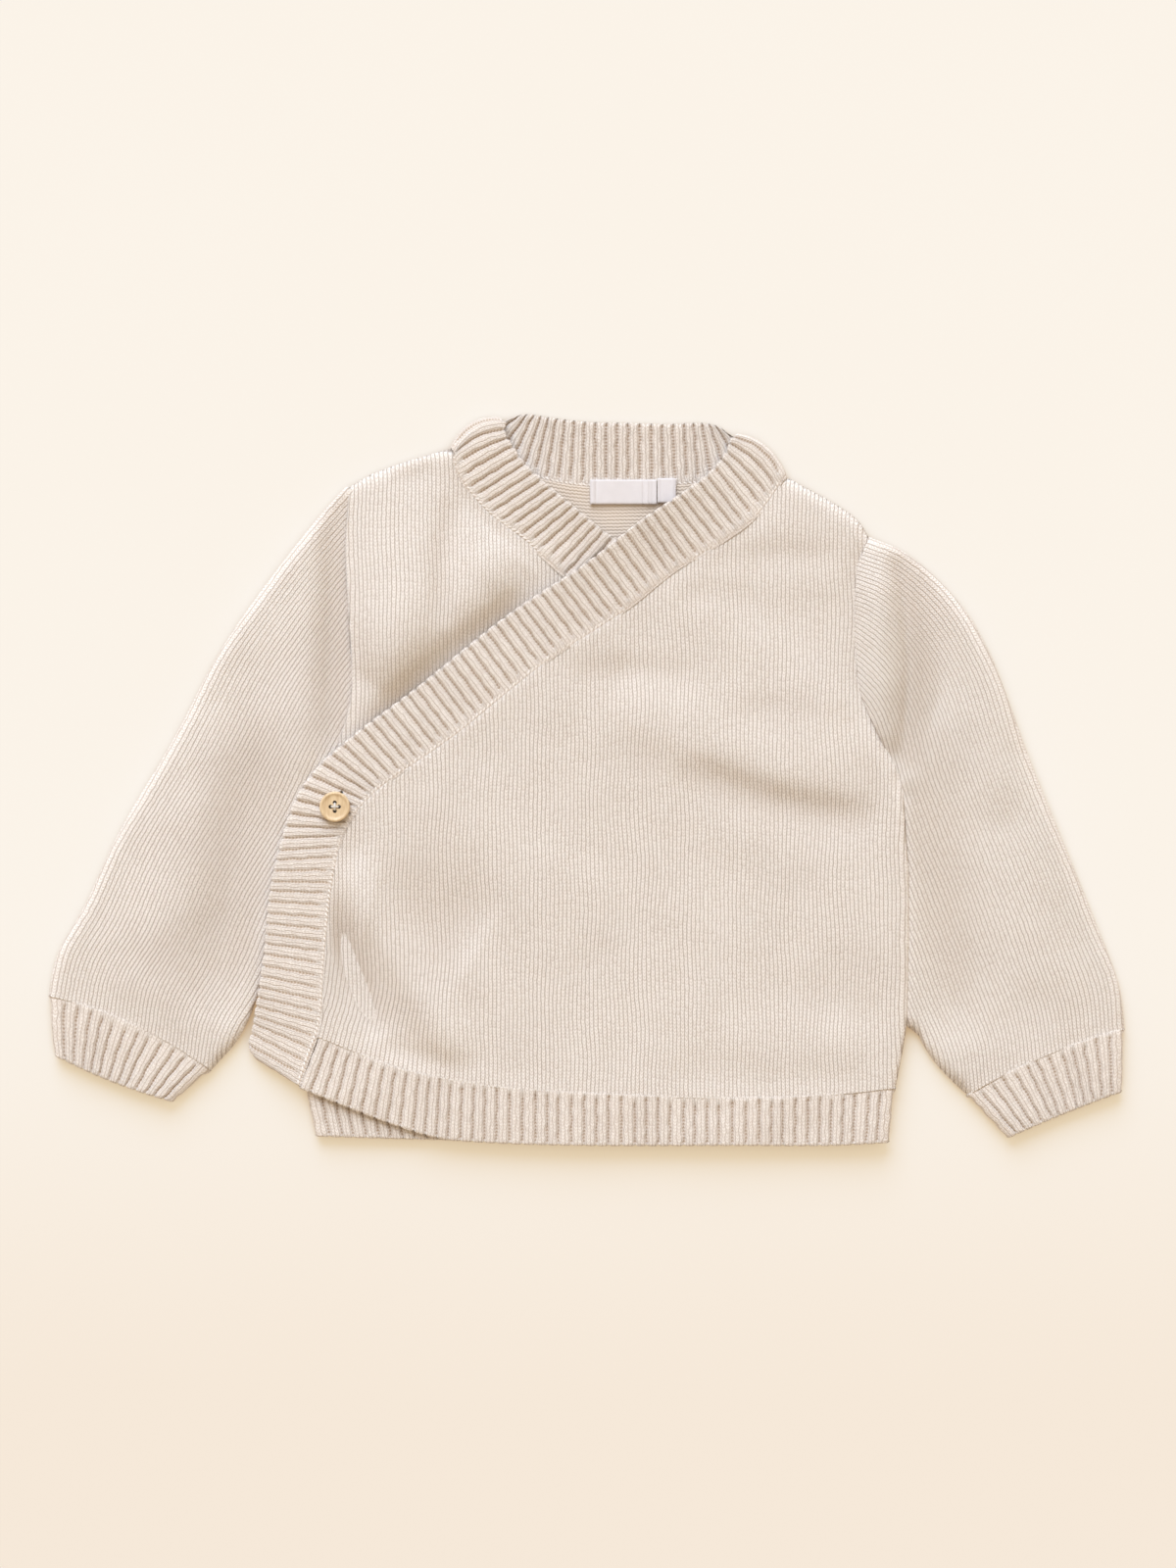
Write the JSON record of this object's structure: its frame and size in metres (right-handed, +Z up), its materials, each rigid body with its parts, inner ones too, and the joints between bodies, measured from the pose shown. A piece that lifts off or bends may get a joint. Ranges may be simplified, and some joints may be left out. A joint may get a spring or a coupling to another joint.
{
  "type": "baby wrap cardigan, laid flat",
  "caption": "Baby's knitted wrap cardigan lying flat on its back, with long sleeves, ribbed hem, cuffs and neck band, and a button at the wrap's edge.",
  "frame": {"origin": "middle of the box of the laid garment, on the surface that it lies on", "axes": "+X across the garment to the viewer's right, +Y towards the neck, +Z up from the surface"},
  "size_m": [0.451, 0.3077, 0.012],
  "materials": {
    "plain_knit": "cream plain knit, matt and soft",
    "rib_knit": "the same yarn in two by two rib",
    "button_wood": "pale wood, satin",
    "thread": "white sewing thread",
    "label_satin": "white woven satin, blank"
  },
  "bodies": {
    "root": {"back": "plain_knit", "hem_back": "rib_knit", "under_front": "plain_knit", "hem_under_front": "rib_knit", "over_front": "plain_knit", "hem_over_front": "rib_knit", "sleeve_left": "plain_knit", "sleeve_right": "plain_knit", "cuff_left": "rib_knit", "cuff_right": "rib_knit", "neck_band": "rib_knit", "button": "button_wood", "button_thread": "thread", "label": "label_satin", "size_tab": "label_satin"}
  },
  "joints": []
}
